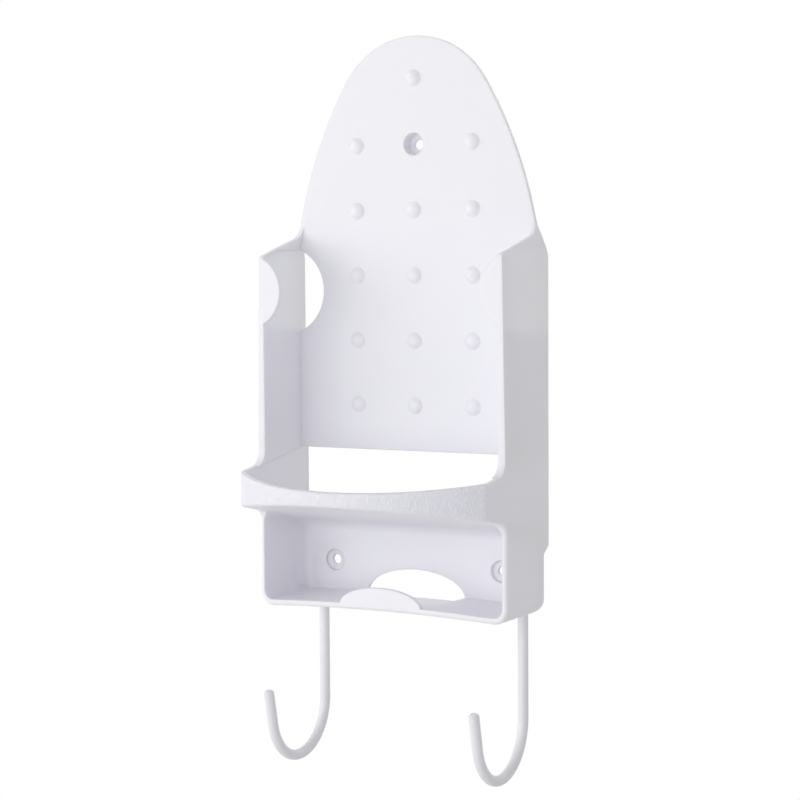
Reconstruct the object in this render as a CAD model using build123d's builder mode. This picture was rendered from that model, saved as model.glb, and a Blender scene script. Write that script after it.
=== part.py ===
"""Wall holder for a clothes iron: one moulded shell, and two wire hooks for the board's legs.

Frame: X across, +Y into the house wall, +Z up, millimetres.
The origin is the top screw's axis where it meets the house wall.
"""
import os
from math import asin, cos, degrees, radians, sin, sqrt, tan

from build123d import *

# Walls of the moulding, and the round along the cubby's rim and under the lip
wall = 2.5
rim_round = 1.8

# Wire hooks and the gap behind the shell that they hang in
wire = 5.6
wire_play = 0.3
hook_drop = 331.9
hook_bend = 27.5
hook_lean = 12.0
hook_tip_leg = 19.4
hook_tip_chamfer = 1.0
hook_top_bend = 6.0
hook_top_leg = 18.0

# Front view: sole-shaped panel that flares into the side walls
panel_top = 57.3
crown_radius = 49.0
side_radius = 230.0
sole_half = 71.3
flare_top = -43.0
flare_bottom = -61.0
wall_half = 75.0
upper_draft = 3.2
lower_draft = 1.35
shell_bottom = -247.4
bottom_crown = 1.8
bottom_corner = 7.5
floor_rise = 1.4

# Side view: depths are measured from the house wall
bay_depth = 49.5
cubby_depth = 48.7
wall_top_at_panel = -48.3
wall_top_slope = 15.4
wall_top_hollow = 8.0
wall_top_corner = 1.5
wall_foot_hollow = 8.5
cubby_top_hollow = 6.0
step_top = -212.0
step_height = 4.0
heel_corner = 7.5
rear_flare_bottom = -60.0

# Heel trough: bowed lip, parting plane and sloping shelf
panel_bottom = -164.5
parting_slope = 8.5
shelf_front = -196.3
shelf_slope = 12.0
lip_radius = 100.0
lip_corner = 8.0

# Raised dots that keep the hot sole off the panel
dot_pitch = 35.0
dot_radius = 4.4
dot_height = 1.9
dot_rows = 4

# Screw holes
screw_hole = 5.6
screw_head = 11.8
boss_wall = 1.45
top_seat = 1.9
low_head_depth = 2.2
low_seat = 2.5
low_half_spacing = 51.0
low_drop = 226.7

# Retaining tabs, and the windows that their mould cores leave
tab_thick = 2.5
core_bite = 1.2
core_shoulder = 13.0
side_tab_drop = 78.0
side_tab_radius = 19.7
side_tab_reach = 10.2
side_window_radius = 23.9
side_window_reach = 15.5
floor_tab_half = 24.1
floor_tab_height = 9.7
floor_window_half = 30.2
floor_window_height = 14.6

# Cubby corners, and the guide rib beside each hook's shank
cubby_back_round = 7.0
cubby_top_round = 6.0
guide_rib = 2.0
guide_rib_height = 20.0
guide_rib_z = -228.0

hook_gap = wire + wire_play
panel_face = hook_gap + wall
overlap = 0.5
envelope_over = 5.0
envelope_depth = lip_radius + envelope_over
side_reach = 2 * wall_half
wall_top_at_front = wall_top_at_panel - (bay_depth - panel_face) * tan(radians(wall_top_slope))
floor_front = shell_bottom + wall + bottom_crown
boss_radius = screw_head / 2 + boss_wall
hook_x = low_half_spacing + boss_radius + (wire + wire_play) / 2
dot_ball = (dot_radius**2 + dot_height**2) / (2 * dot_height)
dot_latitude = degrees(asin((dot_ball - dot_height - overlap) / dot_ball))
standing = (Align.CENTER, Align.CENTER, Align.MIN)
guide_rib_x = hook_x + (wire + wire_play + guide_rib) / 2


def drawn_in(half, draft, depth):
    """Half width at a depth in front of the house wall, after the side's draft."""
    return half - depth * tan(radians(draft))


def parting_at(depth):
    """Height of the plane that the panel's foot and the lip's top lie in."""
    return panel_bottom - (depth - panel_face) * tan(radians(parting_slope))


def shelf_at(depth):
    """Height of the shelf's underside."""
    return shelf_front + (depth - cubby_depth) * tan(radians(shelf_slope))


def outline(depth, inset, foot_draft=lower_draft, floor_lift=0.0):
    """Front view of the shell at one depth, as a sketch set in from its outer faces."""
    crown_centre = Vector(0, panel_top - crown_radius)
    widest = Vector(sole_half, flare_top)
    span = (widest - crown_centre).length
    along = ((side_radius - crown_radius) ** 2 - side_radius**2 + span**2) / (2 * span)
    aside = sqrt((side_radius - crown_radius) ** 2 - along**2)
    unit = (widest - crown_centre).normalized()
    side_centre = crown_centre + unit * along + Vector(unit.Y, -unit.X) * aside
    outward = (crown_centre - side_centre).normalized()
    shoulder = crown_centre + outward * (crown_radius - inset)
    hip_normal = (widest - side_centre).normalized()
    hip = side_centre + hip_normal * (side_radius - inset)
    upper = drawn_in(wall_half, upper_draft, depth) - inset
    lower = drawn_in(wall_half, foot_draft, depth) - inset
    corner = bottom_corner - inset
    base = shell_bottom + inset + floor_lift
    foot = parting_at(depth)
    with BuildSketch(Plane.XZ.offset(depth)) as view:
        with BuildLine():
            ThreePointArc(
                (-shoulder.X, shoulder.Y), (0, panel_top - inset), (shoulder.X, shoulder.Y)
            )
            RadiusArc((shoulder.X, shoulder.Y), (hip.X, hip.Y), side_radius - inset)
            Spline(
                (hip.X, hip.Y),
                (upper, flare_bottom),
                tangents=[(hip_normal.Y, -hip_normal.X), (0, -1)],
            )
            Line((upper, flare_bottom), (lower, foot))
            Line((lower, foot), (lower, base + corner))
            RadiusArc((lower, base + corner), (lower - corner, base), corner)
            ThreePointArc((lower - corner, base), (0, base + bottom_crown), (corner - lower, base))
            RadiusArc((corner - lower, base), (-lower, base + corner), corner)
            Line((-lower, base + corner), (-lower, foot))
            Line((-lower, foot), (-upper, flare_bottom))
            Spline(
                (-upper, flare_bottom),
                (-hip.X, hip.Y),
                tangents=[(0, 1), (hip_normal.Y, hip_normal.X)],
            )
            RadiusArc((-hip.X, hip.Y), (-shoulder.X, shoulder.Y), side_radius - inset)
        make_face()
    return view.sketch


def uprights(edges):
    """Edges that run up and down."""
    return edges.filter_by(lambda edge: abs((edge % 0.5).Z) > 0.99)


parting = Plane(
    origin=(0, -panel_face, panel_bottom),
    x_dir=(1, 0, 0),
    z_dir=(0, -sin(radians(parting_slope)), cos(radians(parting_slope))),
)
shelf_under = Plane(
    origin=(0, -cubby_depth, shelf_front),
    x_dir=(1, 0, 0),
    z_dir=(0, sin(radians(shelf_slope)), cos(radians(shelf_slope))),
)
shelf_top = shelf_under.offset(wall)
panel_front = Plane.XZ.offset(panel_face)
panel_rear = Plane.XZ.offset(hook_gap)

# Spaces inside the shell: the bay over the parting plane, the trough under it, and the cubby
with BuildPart() as bay:
    loft(
        [
            outline(-envelope_over, wall, upper_draft),
            outline(envelope_depth, wall, upper_draft),
        ],
        ruled=True,
    )
    split(bisect_by=panel_front, keep=Keep.TOP)
    split(bisect_by=parting, keep=Keep.TOP)

with BuildPart() as low_space:
    loft([outline(-envelope_over, wall, floor_lift=floor_rise), outline(envelope_depth, wall)], ruled=True)

with BuildPart() as rear_hollow:
    add(low_space.part)
    split(bisect_by=panel_rear, keep=Keep.BOTTOM)

with BuildPart() as trough:
    add(low_space.part)
    split(bisect_by=parting, keep=Keep.BOTTOM)
    split(bisect_by=shelf_top, keep=Keep.TOP)
    with Locations((0, 0, shelf_front)):
        Cylinder(lip_radius - wall, side_reach, mode=Mode.INTERSECT)
    fillet(uprights(edges()).group_by(Axis.Y)[0], lip_corner - wall)

with BuildPart() as cubby:
    rear_half = drawn_in(wall_half, lower_draft, panel_face) - wall
    front_half = drawn_in(wall_half, lower_draft, envelope_depth) - wall
    with BuildSketch(Plane.XY.offset(shell_bottom)) as plan:
        with BuildLine():
            Polyline(
                (-front_half, -envelope_depth),
                (front_half, -envelope_depth),
                (rear_half, -panel_face),
                (-rear_half, -panel_face),
                close=True,
            )
        make_face()
        fillet(plan.vertices().group_by(Axis.Y)[-1], cubby_back_round)
    extrude(amount=side_reach)
    add(low_space.part, mode=Mode.INTERSECT)
    split(bisect_by=shelf_under, keep=Keep.BOTTOM)
    ceiling = faces().sort_by(Axis.Z).last
    fillet(ceiling.edges() - ceiling.edges().group_by(Axis.Y)[0], cubby_top_round)

# Mould cores that shape a tab's rear side, each widening to the window it leaves behind
with BuildPart() as core_space:
    loft(
        [
            outline(-envelope_over, wall - core_bite),
            outline(envelope_depth, wall - core_bite),
        ],
        ruled=True,
    )

side_tab_x = drawn_in(wall_half, upper_draft, bay_depth) - wall - side_tab_reach + side_tab_radius
side_window_x = drawn_in(wall_half, upper_draft, panel_face) - wall - side_window_reach + side_window_radius
with BuildPart() as side_core:
    with BuildSketch(Plane.XZ.offset(bay_depth - tab_thick)):
        with Locations((side_tab_x, -side_tab_drop)):
            Circle(side_tab_radius)
    with BuildSketch(Plane.XZ.offset(bay_depth - tab_thick - core_shoulder)) as window_view:
        with Locations((side_window_x, -side_tab_drop)):
            Circle(side_window_radius)
    loft()
    extrude(window_view.sketch, amount=-bay_depth)
    add(core_space.part, mode=Mode.INTERSECT)

with BuildPart() as side_tab:
    with BuildSketch(Plane.XZ.offset(bay_depth - tab_thick)):
        with Locations((side_tab_x, -side_tab_drop)):
            Circle(side_tab_radius)
    extrude(amount=tab_thick)
    add(core_space.part, mode=Mode.INTERSECT)

with BuildPart() as floor_core:
    with BuildSketch(Plane.XZ.offset(cubby_depth - tab_thick)):
        with Locations((0, floor_front)):
            Ellipse(floor_tab_half, floor_tab_height)
    with BuildSketch(Plane.XZ.offset(hook_gap - overlap)):
        with Locations((0, floor_front)):
            Ellipse(floor_window_half, floor_window_height)
    loft()
    add(core_space.part, mode=Mode.INTERSECT)

with BuildPart() as floor_tab:
    with BuildSketch(Plane.XZ.offset(cubby_depth - tab_thick)):
        with Locations((0, floor_front)):
            Ellipse(floor_tab_half, floor_tab_height)
    extrude(amount=tab_thick)
    add(core_space.part, mode=Mode.INTERSECT)

# Outer shell: the drawn-in front view, trimmed by the side view and by the lip's bow
with BuildPart() as moulded_shell:
    loft([outline(-envelope_over, 0), outline(envelope_depth, 0)], ruled=True)
    with BuildSketch(Plane.YZ) as side_view:
        with BuildLine():
            Polyline(
                (-panel_face, panel_top + envelope_over),
                (-panel_face, wall_top_at_panel),
                (-bay_depth, wall_top_at_front),
                (-bay_depth, parting_at(bay_depth)),
                (-envelope_depth, parting_at(envelope_depth)),
                (-envelope_depth, shelf_at(envelope_depth)),
                (-cubby_depth, shelf_front),
                (-cubby_depth, shell_bottom - overlap),
                (-hook_gap, shell_bottom - overlap),
                (-hook_gap, step_top - step_height),
                (0, step_top),
                (0, rear_flare_bottom),
                (-hook_gap, flare_top),
                (-hook_gap, panel_top + envelope_over),
                close=True,
            )
        make_face()
        for corner, radius in (
            ((-panel_face, wall_top_at_panel), wall_top_hollow),
            ((-bay_depth, wall_top_at_front), wall_top_corner),
            ((-bay_depth, parting_at(bay_depth)), wall_foot_hollow),
            ((-cubby_depth, shelf_front), cubby_top_hollow),
            ((-hook_gap, shell_bottom - overlap), heel_corner),
        ):
            fillet(side_view.vertices().sort_by_distance(corner)[0], radius)
    extrude(amount=side_reach, both=True, mode=Mode.INTERSECT)
    with Locations((0, 0, shelf_front)):
        Cylinder(lip_radius, 2 * (panel_top - shell_bottom), mode=Mode.INTERSECT)
    fillet(uprights(edges()).group_by(Axis.Y)[0], lip_corner)
    cubby_rims = uprights(edges()).filter_by_position(Axis.Z, shell_bottom, shelf_front)
    fillet(cubby_rims.group_by(Axis.Y)[0].sort_by(Axis.X).last, rim_round)
    add(bay.part, mode=Mode.SUBTRACT)
    add(trough.part, mode=Mode.SUBTRACT)
    add(cubby.part, mode=Mode.SUBTRACT)
    add(rear_hollow.part, mode=Mode.SUBTRACT)
    add(side_core.part, mode=Mode.SUBTRACT)
    mirror(side_core.part, about=Plane.YZ, mode=Mode.SUBTRACT)
    add(floor_core.part, mode=Mode.SUBTRACT)
    add(side_tab.part)
    mirror(side_tab.part, about=Plane.YZ)
    add(floor_tab.part)
    with Locations(panel_front.offset(-overlap)):
        with Locations((0, dot_pitch), (-dot_pitch, 0), (dot_pitch, 0)):
            Sphere(dot_ball, arc_size1=dot_latitude, align=standing)
        with Locations((0, -dot_pitch * (dot_rows + 1) / 2)):
            with GridLocations(dot_pitch, dot_pitch, 3, dot_rows):
                Sphere(dot_ball, arc_size1=dot_latitude, align=standing)
    with Locations(Plane.XZ):
        with Locations((0, 0), (-low_half_spacing, -low_drop), (low_half_spacing, -low_drop)):
            Cylinder(boss_radius, hook_gap + overlap, align=standing)
    with Locations(panel_front):
        CounterBoreHole(screw_hole / 2, screw_head / 2, panel_face - top_seat)
        with Locations((-low_half_spacing, -low_drop), (low_half_spacing, -low_drop)):
            CounterBoreHole(screw_hole / 2, screw_head / 2, low_head_depth)
    with Locations(Plane.XZ):
        with Locations((-low_half_spacing, -low_drop), (low_half_spacing, -low_drop)):
            Cylinder(
                screw_head / 2,
                panel_face - low_head_depth - low_seat,
                align=standing,
                mode=Mode.SUBTRACT,
            )
    with BuildSketch(Plane.XZ):
        with Locations((-guide_rib_x, guide_rib_z), (guide_rib_x, guide_rib_z)):
            Rectangle(guide_rib, guide_rib_height)
    extrude(amount=hook_gap + overlap)

# Right hook: a leg over the screw boss, a shank down the gap, and the bend that takes the board's leg
hook_y = -hook_gap / 2
leg_z = -low_drop + boss_radius + (wire + wire_play) / 2
bend_y = hook_y - hook_bend
bend_z = hook_bend - hook_drop
lean_out = sin(radians(hook_lean))
lean_up = cos(radians(hook_lean))
with BuildPart() as right_hook:
    with BuildLine():
        leg = FilletPolyline(
            (hook_x - hook_top_leg, hook_y, leg_z),
            (hook_x, hook_y, leg_z),
            (hook_x, hook_y, bend_z),
            radius=hook_top_bend,
        )
        bend = ThreePointArc(
            (hook_x, hook_y, bend_z),
            (hook_x, bend_y, -hook_drop),
            (hook_x, bend_y - hook_bend * lean_up, bend_z - hook_bend * lean_out),
        )
        tip_leg = Line(
            bend @ 1,
            bend @ 1 + Vector(0, -lean_out, lean_up) * hook_tip_leg,
        )
    with BuildSketch(Plane(origin=leg @ 0, z_dir=leg % 0)):
        Circle(wire / 2)
    sweep()
    chamfer(edges().filter_by(GeomType.CIRCLE).sort_by(Axis.Y)[0], hook_tip_chamfer)

with BuildPart() as left_hook:
    mirror(right_hook.part, about=Plane.YZ)

os.makedirs("parts", exist_ok=True)
moulded_shell.part.label = "moulded_shell"
left_hook.part.label = "left_hook"
right_hook.part.label = "right_hook"
export_step(moulded_shell.part, "parts/moulded_shell.step")
export_step(left_hook.part, "parts/left_hook.step")
export_step(right_hook.part, "parts/right_hook.step")
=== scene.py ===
"""Finishes and studio for a wall holder for a clothes iron: a moulded shell and two wire hooks.

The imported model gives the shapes, in metres: X across, +Y into the house wall, +Z up, with the
origin at the top screw. The operators give each piece its finish and set up the studio.
"""

from math import cos, radians, sin

import bmesh
import bpy
from mathutils import Matrix, Vector

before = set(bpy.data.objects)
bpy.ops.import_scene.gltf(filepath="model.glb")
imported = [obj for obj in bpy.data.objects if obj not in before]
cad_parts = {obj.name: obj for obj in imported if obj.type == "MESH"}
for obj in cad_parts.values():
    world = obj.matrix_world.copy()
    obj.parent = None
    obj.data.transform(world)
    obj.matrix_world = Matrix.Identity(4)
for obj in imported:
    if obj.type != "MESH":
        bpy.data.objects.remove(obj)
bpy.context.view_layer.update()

bl_info = {
    "name": "Iron Holder Finishes",
    "version": (1, 0, 0),
    "blender": (4, 5, 0),
    "location": "3D View > Sidebar > Iron Holder",
    "description": "Moulded plastic, coated wire and a plain studio for an iron holder",
    "category": "Material",
}

# Noise patterns on the plastic, the coating and the floor: scale per metre, then detail.
CLOUDS = (22.0, 3.0)
FLOW_MARKS = (160.0, 4.0)
PORES = (2600.0, 2.0)
RUNS = (60.0, 3.0)
ORANGE_PEEL = (900.0, 2.0)
MOTTLE = (6.0, 3.0)
NOISE_ROUGHNESS = 0.55

# Heights of the patterns, in metres.
FLOW_HEIGHT = 0.000012
PORE_HEIGHT = 0.000004
RUN_HEIGHT = 0.00003
PEEL_HEIGHT = 0.00001

# Roughness that the patterns and the lip's grain add.
CLOUD_ROUGHNESS = 0.07
PORE_ROUGHNESS = 0.05
GRAIN_ROUGHNESS = 0.08
PEEL_ROUGHNESS = 0.08

# Tints, which multiply a finish's red, green and blue.
WARM_PLASTIC = (1.008, 1.004, 0.985)
COOL_PLASTIC = (0.985, 0.99, 1.005)
# Painted shade: this tint darkens the colour along the valleys of the lip's grain.
VALLEY_PAINTED_SHADE = (0.95, 0.95, 0.96)
THICK_COATING = (1.01, 1.01, 1.0)
THIN_COATING = (0.98, 0.982, 0.995)
PALE_PAPER = (1.0, 1.0, 1.0)
SHADED_PAPER = (0.98, 0.98, 0.98)

# The plastic's warm and cool tones follow the clouds by this share, and else the flow marks.
CLOUD_SHARE = 0.7

# The grain starts and is full at these depths behind the lip's front face, in metres.
LIP_FADE_START = 0.0012
LIP_FADE_END = 0.0004

# The grain's cells are stretched upright and bent by a noise; their valleys are soft.
GRAIN_STRETCH = (1.0, 1.0, 0.33)
BENDS_PER_CELL = 0.4
BEND_DETAIL = 2.0
VALLEY_WIDTH = 0.3

PLASTIC_IOR = 1.49
COATING_IOR = 1.5
EDGE_SAMPLES = 6

PAPER_ROUGHNESS = 0.9
FLOOR_SIDES = 96
WHITE = (1.0, 1.0, 1.0, 1.0)
SENSOR_WIDTH = 36.0

# Square lamps: name, place in metres and power in watts. All of them aim at the holder's middle.
LAMP_SIZE = 1.2
LAMP_AIM = Vector((0.0, -0.04, -0.12))
LAMPS = (
    ("left", (-1.5, -0.9, 0.2), 7.4),
    ("key", (-0.6, -1.7, -0.1), 6.2),
    ("front", (0.25, -1.8, -0.1), 4.0),
    ("rear", (0.1, 1.7, 0.8), 4.5),
)


class Shade:
    """A shader socket that can be used in Python arithmetic; each operator adds a Math node."""

    def __init__(self, tree, socket=None):
        self.tree = tree
        self.socket = socket

    def node(self, kind, settings=None, inputs=None, output=0):
        """Adds a node with its settings and its sockets' values or links, and wraps an output."""
        made = self.tree.nodes.new(kind)
        for name, value in (settings or {}).items():
            setattr(made, name, value)
        for name, value in (inputs or {}).items():
            if isinstance(value, Shade):
                self.tree.links.new(value.socket, made.inputs[name])
            else:
                made.inputs[name].default_value = value
        return Shade(self.tree, made.outputs[output] if made.outputs else None)

    def math(self, operation, first, second):
        """Adds a Math node on two values, each of them a socket or a number."""
        return self.node("ShaderNodeMath", {"operation": operation}, {0: first, 1: second})

    def __add__(self, other):
        return self.math("ADD", self, other)

    def __radd__(self, other):
        return self.math("ADD", other, self)

    def __sub__(self, other):
        return self.math("SUBTRACT", self, other)

    def __rsub__(self, other):
        return self.math("SUBTRACT", other, self)

    def __mul__(self, other):
        return self.math("MULTIPLY", self, other)

    def __rmul__(self, other):
        return self.math("MULTIPLY", other, self)


def fresh_material(name):
    """A material with no finish yet, the wrapper that adds its nodes, and its coordinates."""
    material = bpy.data.materials.new(name)
    material.use_nodes = True
    material.node_tree.nodes.clear()
    at = Shade(material.node_tree)
    return material, at, at.node("ShaderNodeTexCoord", output="Object")


def surface(at, inputs):
    """Ends a material in one shader with these inputs."""
    shader = at.node("ShaderNodeBsdfPrincipled", inputs=inputs)
    at.node("ShaderNodeOutputMaterial", inputs={"Surface": shader})


def noise(at, where, scale, detail):
    """Soft cloudy noise from 0 to 1 at a scale per metre."""
    return at.node(
        "ShaderNodeTexNoise",
        {"noise_dimensions": "3D"},
        {"Vector": where, "Scale": scale, "Detail": detail, "Roughness": NOISE_ROUGHNESS},
    )


def mixed(at, factor, first, second):
    """Colour between two colours; the Mix node's colours are inputs 6 and 7 and output 2."""
    return at.node(
        "ShaderNodeMix",
        {"data_type": "RGBA"},
        {0: factor, 6: first, 7: second},
        output=2,
    )


def rising(at, value, low, high):
    """Smooth step from 0 at low to 1 at high."""
    return at.node(
        "ShaderNodeMapRange",
        {"interpolation_type": "SMOOTHSTEP"},
        {"Value": value, "From Min": low, "From Max": high},
    )


def tinted(colour, tint):
    """An opaque colour, tinted."""
    return (*(part * gain for part, gain in zip(colour, tint)), 1.0)


def wear(obj, material):
    """The object shows this material in every slot."""
    for slot in obj.material_slots:
        slot.material = material


class ShellFinish(bpy.types.PropertyGroup):
    """Finish of the moulded shell"""

    colour: bpy.props.FloatVectorProperty(
        name="Colour",
        description="Colour of the moulded plastic",
        subtype="COLOR",
        size=3,
        min=0.0,
        max=1.0,
        default=(0.885, 0.881, 0.94),
    )
    roughness: bpy.props.FloatProperty(
        name="Roughness",
        description="Roughness of the satin moulded skin",
        subtype="FACTOR",
        min=0.0,
        max=1.0,
        default=0.42,
    )
    translucence: bpy.props.FloatProperty(
        name="Translucence",
        description="How far light runs inside the plastic",
        unit="LENGTH",
        min=0.0,
        default=0.0018,
    )
    edge_round: bpy.props.FloatProperty(
        name="Edge Round",
        description="Radius that small edges are softened by",
        unit="LENGTH",
        min=0.0,
        default=0.0008,
    )
    grain_cell: bpy.props.FloatProperty(
        name="Grain Cell",
        description="Width of one cell of the leather grain on the bowed lip",
        unit="LENGTH",
        min=0.0002,
        default=0.00115,
    )
    grain_depth: bpy.props.FloatProperty(
        name="Grain Depth",
        description="Depth of the leather grain on the bowed lip",
        unit="LENGTH",
        min=0.0,
        default=0.0002,
    )
    lip_radius: bpy.props.FloatProperty(
        name="Lip Radius",
        description="Radius of the bowed lip about the upright axis at the house wall",
        unit="LENGTH",
        default=0.1,
    )


class HookFinish(bpy.types.PropertyGroup):
    """Finish of the two wire hooks"""

    colour: bpy.props.FloatVectorProperty(
        name="Colour",
        description="Colour of the coating on the wire",
        subtype="COLOR",
        size=3,
        min=0.0,
        max=1.0,
        default=(0.85, 0.847, 0.885),
    )
    roughness: bpy.props.FloatProperty(
        name="Roughness",
        description="Roughness of the coating",
        subtype="FACTOR",
        min=0.0,
        max=1.0,
        default=0.33,
    )


class Studio(bpy.types.PropertyGroup):
    """Floor, even light and camera"""

    floor_height: bpy.props.FloatProperty(
        name="Floor Height",
        description="Height of the floor, measured up from the top screw",
        unit="LENGTH",
        default=-0.9,
    )
    floor_radius: bpy.props.FloatProperty(
        name="Floor Radius",
        description="Radius of the round floor",
        unit="LENGTH",
        default=1.4,
    )
    floor_colour: bpy.props.FloatVectorProperty(
        name="Floor Colour",
        description="Colour of the floor",
        subtype="COLOR",
        size=3,
        min=0.0,
        max=1.0,
        default=(0.88, 0.88, 0.88),
    )
    ambient: bpy.props.FloatProperty(
        name="Ambient",
        description="Strength of the even light from all round",
        min=0.0,
        default=0.51,
    )
    camera_place: bpy.props.FloatVectorProperty(
        name="Camera Place",
        description="Where the camera stands",
        subtype="XYZ",
        unit="LENGTH",
        size=3,
        default=(0.5034, -0.9373, -0.0691),
    )
    camera_yaw: bpy.props.FloatProperty(
        name="Camera Yaw",
        description="Turn of the camera to the left from straight at the wall",
        subtype="ANGLE",
        default=radians(28.89),
    )
    camera_tilt: bpy.props.FloatProperty(
        name="Camera Tilt",
        description="Downward tilt of the camera",
        subtype="ANGLE",
        default=radians(3.67),
    )
    camera_roll: bpy.props.FloatProperty(
        name="Camera Roll",
        description="Roll of the camera",
        subtype="ANGLE",
        default=radians(-0.38),
    )
    camera_lens: bpy.props.FloatProperty(
        name="Camera Lens",
        description="Focal length on a sensor 36 mm wide",
        unit="CAMERA",
        default=88.52,
    )


class IRON_HOLDER_OT_shell(bpy.types.Operator):
    """Gives the moulded shell its satin white plastic, with a leather grain on the bowed lip
    whose valleys get painted shade
    """

    bl_idname = "iron_holder.shell"
    bl_label = "Moulded Shell"

    def execute(self, context):
        finish = context.scene.iron_holder_shell
        material, at, where = fresh_material("satin_white_moulding")
        clouds = noise(at, where, *CLOUDS)
        flow = noise(at, where, *FLOW_MARKS)
        pores = noise(at, where, *PORES)
        on_lip = self.lip(at, where, finish)
        valley = self.grain(at, where, finish) * on_lip

        skin_tone = mixed(
            at,
            clouds * CLOUD_SHARE + flow * (1.0 - CLOUD_SHARE),
            tinted(finish.colour, COOL_PLASTIC),
            tinted(finish.colour, WARM_PLASTIC),
        )
        # Painted shade: the base colour darkens along the lip's grain valleys, which the bump
        # also dents.
        painted_valley_shade = tinted(finish.colour, VALLEY_PAINTED_SHADE)
        smoothest = finish.roughness - (CLOUD_ROUGHNESS + PORE_ROUGHNESS) / 2
        skin_roughness = smoothest + clouds * CLOUD_ROUGHNESS + pores * PORE_ROUGHNESS
        height = pores * PORE_HEIGHT + flow * FLOW_HEIGHT - valley * finish.grain_depth
        soft_edge = at.node(
            "ShaderNodeBevel", {"samples": EDGE_SAMPLES}, {"Radius": finish.edge_round}
        )
        bump = at.node(
            "ShaderNodeBump",
            inputs={"Strength": 1.0, "Distance": 1.0, "Height": height, "Normal": soft_edge},
        )
        surface(
            at,
            {
                "Base Color": mixed(at, valley, skin_tone, painted_valley_shade),
                "Roughness": skin_roughness + on_lip * GRAIN_ROUGHNESS,
                "Normal": bump,
                "IOR": PLASTIC_IOR,
                "Subsurface Weight": 1.0,
                "Subsurface Radius": (1.0, 1.0, 1.0),
                "Subsurface Scale": finish.translucence,
            },
        )
        wear(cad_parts["moulded_shell"], material)
        return {"FINISHED"}

    def lip(self, at, where, finish):
        """1 on the front of the bowed lip, which is round about the upright axis, and else 0."""
        flat = at.node(
            "ShaderNodeVectorMath", {"operation": "MULTIPLY"}, {0: where, 1: (1.0, 1.0, 0.0)}
        )
        from_axis = at.node(
            "ShaderNodeVectorMath", {"operation": "LENGTH"}, {0: flat}, output="Value"
        )
        start = finish.lip_radius - LIP_FADE_START
        return rising(at, from_axis, start, finish.lip_radius - LIP_FADE_END)

    def grain(self, at, where, finish):
        """1 along the valleys between the cells of an upright leather grain, 0 on the cells."""
        tall = at.node("ShaderNodeMapping", inputs={"Vector": where, "Scale": GRAIN_STRETCH})
        bend_scale = BENDS_PER_CELL / finish.grain_cell
        bends = at.node(
            "ShaderNodeTexNoise",
            inputs={"Vector": where, "Scale": bend_scale, "Detail": BEND_DETAIL},
            output="Color",
        )
        bent = at.node(
            "ShaderNodeVectorMath",
            {"operation": "MULTIPLY_ADD"},
            {0: bends, 1: (finish.grain_cell,) * 3, 2: tall},
        )
        from_valley = at.node(
            "ShaderNodeTexVoronoi",
            {"feature": "DISTANCE_TO_EDGE"},
            {"Vector": bent, "Scale": 1.0 / finish.grain_cell},
        )
        return 1.0 - rising(at, from_valley, 0.0, VALLEY_WIDTH)


class IRON_HOLDER_OT_hooks(bpy.types.Operator):
    """Gives both wire hooks their smooth white coating"""

    bl_idname = "iron_holder.hooks"
    bl_label = "Wire Hooks"

    def execute(self, context):
        finish = context.scene.iron_holder_hooks
        material, at, where = fresh_material("coated_white_wire")
        runs = noise(at, where, *RUNS)
        peel = noise(at, where, *ORANGE_PEEL)
        tone = mixed(
            at,
            runs,
            tinted(finish.colour, THIN_COATING),
            tinted(finish.colour, THICK_COATING),
        )
        height = peel * PEEL_HEIGHT + runs * RUN_HEIGHT
        bump = at.node(
            "ShaderNodeBump", inputs={"Strength": 1.0, "Distance": 1.0, "Height": height}
        )
        smoothest = finish.roughness - PEEL_ROUGHNESS / 2
        surface(
            at,
            {
                "Base Color": tone,
                "Roughness": smoothest + peel * PEEL_ROUGHNESS,
                "Normal": bump,
                "IOR": COATING_IOR,
            },
        )
        for name in ("left_hook", "right_hook"):
            wear(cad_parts[name], material)
        return {"FINISHED"}


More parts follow.
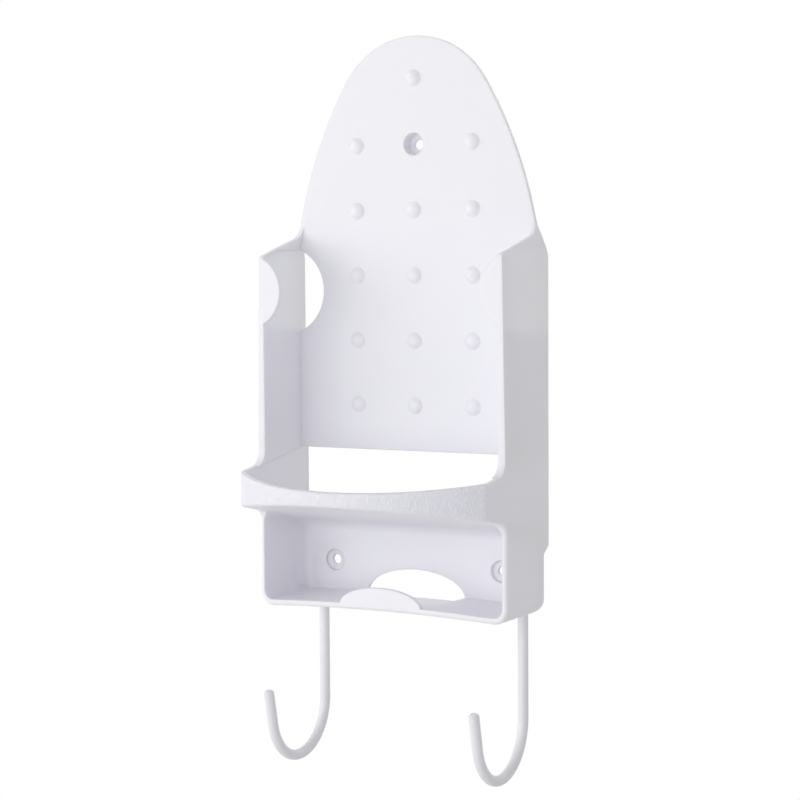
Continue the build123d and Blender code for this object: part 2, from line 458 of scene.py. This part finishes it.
class IRON_HOLDER_OT_studio(bpy.types.Operator):
    """Sets up the floor, the pale surroundings, the lamps and the camera"""

    bl_idname = "iron_holder.studio"
    bl_label = "Studio"

    def execute(self, context):
        studio = context.scene.iron_holder_studio
        self.floor(context, studio)
        self.surroundings(context, studio)
        for name, place, power in LAMPS:
            self.lamp(context, name, place, power)
        self.camera(context, studio)
        context.scene.view_settings.view_transform = "Standard"
        return {"FINISHED"}

    def floor(self, context, studio):
        """A round sheet of pale paper, well below the holder."""
        mesh = bpy.data.meshes.new("floor")
        sheet = bmesh.new()
        bmesh.ops.create_circle(
            sheet, cap_ends=True, segments=FLOOR_SIDES, radius=studio.floor_radius
        )
        bmesh.ops.translate(sheet, verts=sheet.verts, vec=(0.0, 0.0, studio.floor_height))
        sheet.to_mesh(mesh)
        sheet.free()
        floor = bpy.data.objects.new("floor", mesh)
        context.scene.collection.objects.link(floor)
        material, at, where = fresh_material("pale_floor")
        tone = mixed(
            at,
            noise(at, where, *MOTTLE),
            tinted(studio.floor_colour, SHADED_PAPER),
            tinted(studio.floor_colour, PALE_PAPER),
        )
        surface(at, {"Base Color": tone, "Roughness": PAPER_ROUGHNESS})
        mesh.materials.append(material)

    def surroundings(self, context, studio):
        """Even light on the holder, and a white background for the camera and reflections."""
        world = bpy.data.worlds.new("pale_surroundings")
        world.use_nodes = True
        world.node_tree.nodes.clear()
        at = Shade(world.node_tree)
        seen = at.node("ShaderNodeLightPath", output="Is Camera Ray")
        for ray in ("Is Glossy Ray", "Is Transmission Ray"):
            seen = at.math("MAXIMUM", seen, at.node("ShaderNodeLightPath", output=ray))
        even = at.node(
            "ShaderNodeBackground", inputs={"Color": WHITE, "Strength": studio.ambient}
        )
        white = at.node("ShaderNodeBackground", inputs={"Color": WHITE, "Strength": 1.0})
        both = at.node("ShaderNodeMixShader", inputs={0: seen, 1: even, 2: white})
        at.node("ShaderNodeOutputWorld", inputs={"Surface": both})
        context.scene.world = world

    def lamp(self, context, name, place, power):
        """A large square lamp, turned towards the holder."""
        light = bpy.data.lights.new(name, "AREA")
        light.size = LAMP_SIZE
        light.energy = power
        lamp = bpy.data.objects.new(name, light)
        lamp.location = place
        aim = LAMP_AIM - Vector(place)
        lamp.rotation_euler = aim.to_track_quat("-Z", "Y").to_euler()
        context.scene.collection.objects.link(lamp)

    def camera(self, context, studio):
        """The camera, turned by its yaw, then tilted, then rolled."""
        yaw, tilt, roll = studio.camera_yaw, studio.camera_tilt, studio.camera_roll
        level = Vector((-sin(yaw), cos(yaw), 0.0))
        side = Vector((cos(yaw), sin(yaw), 0.0))
        up = Vector((0.0, 0.0, 1.0))
        ahead = level * cos(tilt) - up * sin(tilt)
        over = up * cos(tilt) + level * sin(tilt)
        right = side * cos(roll) + over * sin(roll)
        top = over * cos(roll) - side * sin(roll)
        turn = Matrix((right, top, -ahead)).transposed().to_4x4()
        lens = bpy.data.cameras.new("camera")
        lens.sensor_width = SENSOR_WIDTH
        lens.lens = studio.camera_lens
        camera = bpy.data.objects.new("camera", lens)
        camera.matrix_world = Matrix.Translation(studio.camera_place) @ turn
        context.scene.collection.objects.link(camera)
        context.scene.camera = camera


class IRON_HOLDER_PT_panel(bpy.types.Panel):
    """Lists the iron holder's finishes and its studio"""

    bl_idname = "IRON_HOLDER_PT_panel"
    bl_label = "Iron Holder"
    bl_space_type = "VIEW_3D"
    bl_region_type = "UI"
    bl_category = "Iron Holder"

    def draw(self, context):
        for operator, group in (
            ("iron_holder.shell", context.scene.iron_holder_shell),
            ("iron_holder.hooks", context.scene.iron_holder_hooks),
            ("iron_holder.studio", context.scene.iron_holder_studio),
        ):
            box = self.layout.box()
            box.operator(operator)
            for name in group.__annotations__:
                box.prop(group, name)


classes = (
    ShellFinish,
    HookFinish,
    Studio,
    IRON_HOLDER_OT_shell,
    IRON_HOLDER_OT_hooks,
    IRON_HOLDER_OT_studio,
    IRON_HOLDER_PT_panel,
)


def register():
    for cls in classes:
        bpy.utils.register_class(cls)
    bpy.types.Scene.iron_holder_shell = bpy.props.PointerProperty(type=ShellFinish)
    bpy.types.Scene.iron_holder_hooks = bpy.props.PointerProperty(type=HookFinish)
    bpy.types.Scene.iron_holder_studio = bpy.props.PointerProperty(type=Studio)


def unregister():
    del bpy.types.Scene.iron_holder_shell
    del bpy.types.Scene.iron_holder_hooks
    del bpy.types.Scene.iron_holder_studio
    for cls in reversed(classes):
        bpy.utils.unregister_class(cls)


def main():
    register()
    bpy.ops.iron_holder.shell()
    bpy.ops.iron_holder.hooks()
    bpy.ops.iron_holder.studio()


if __name__ == "__main__":
    main()
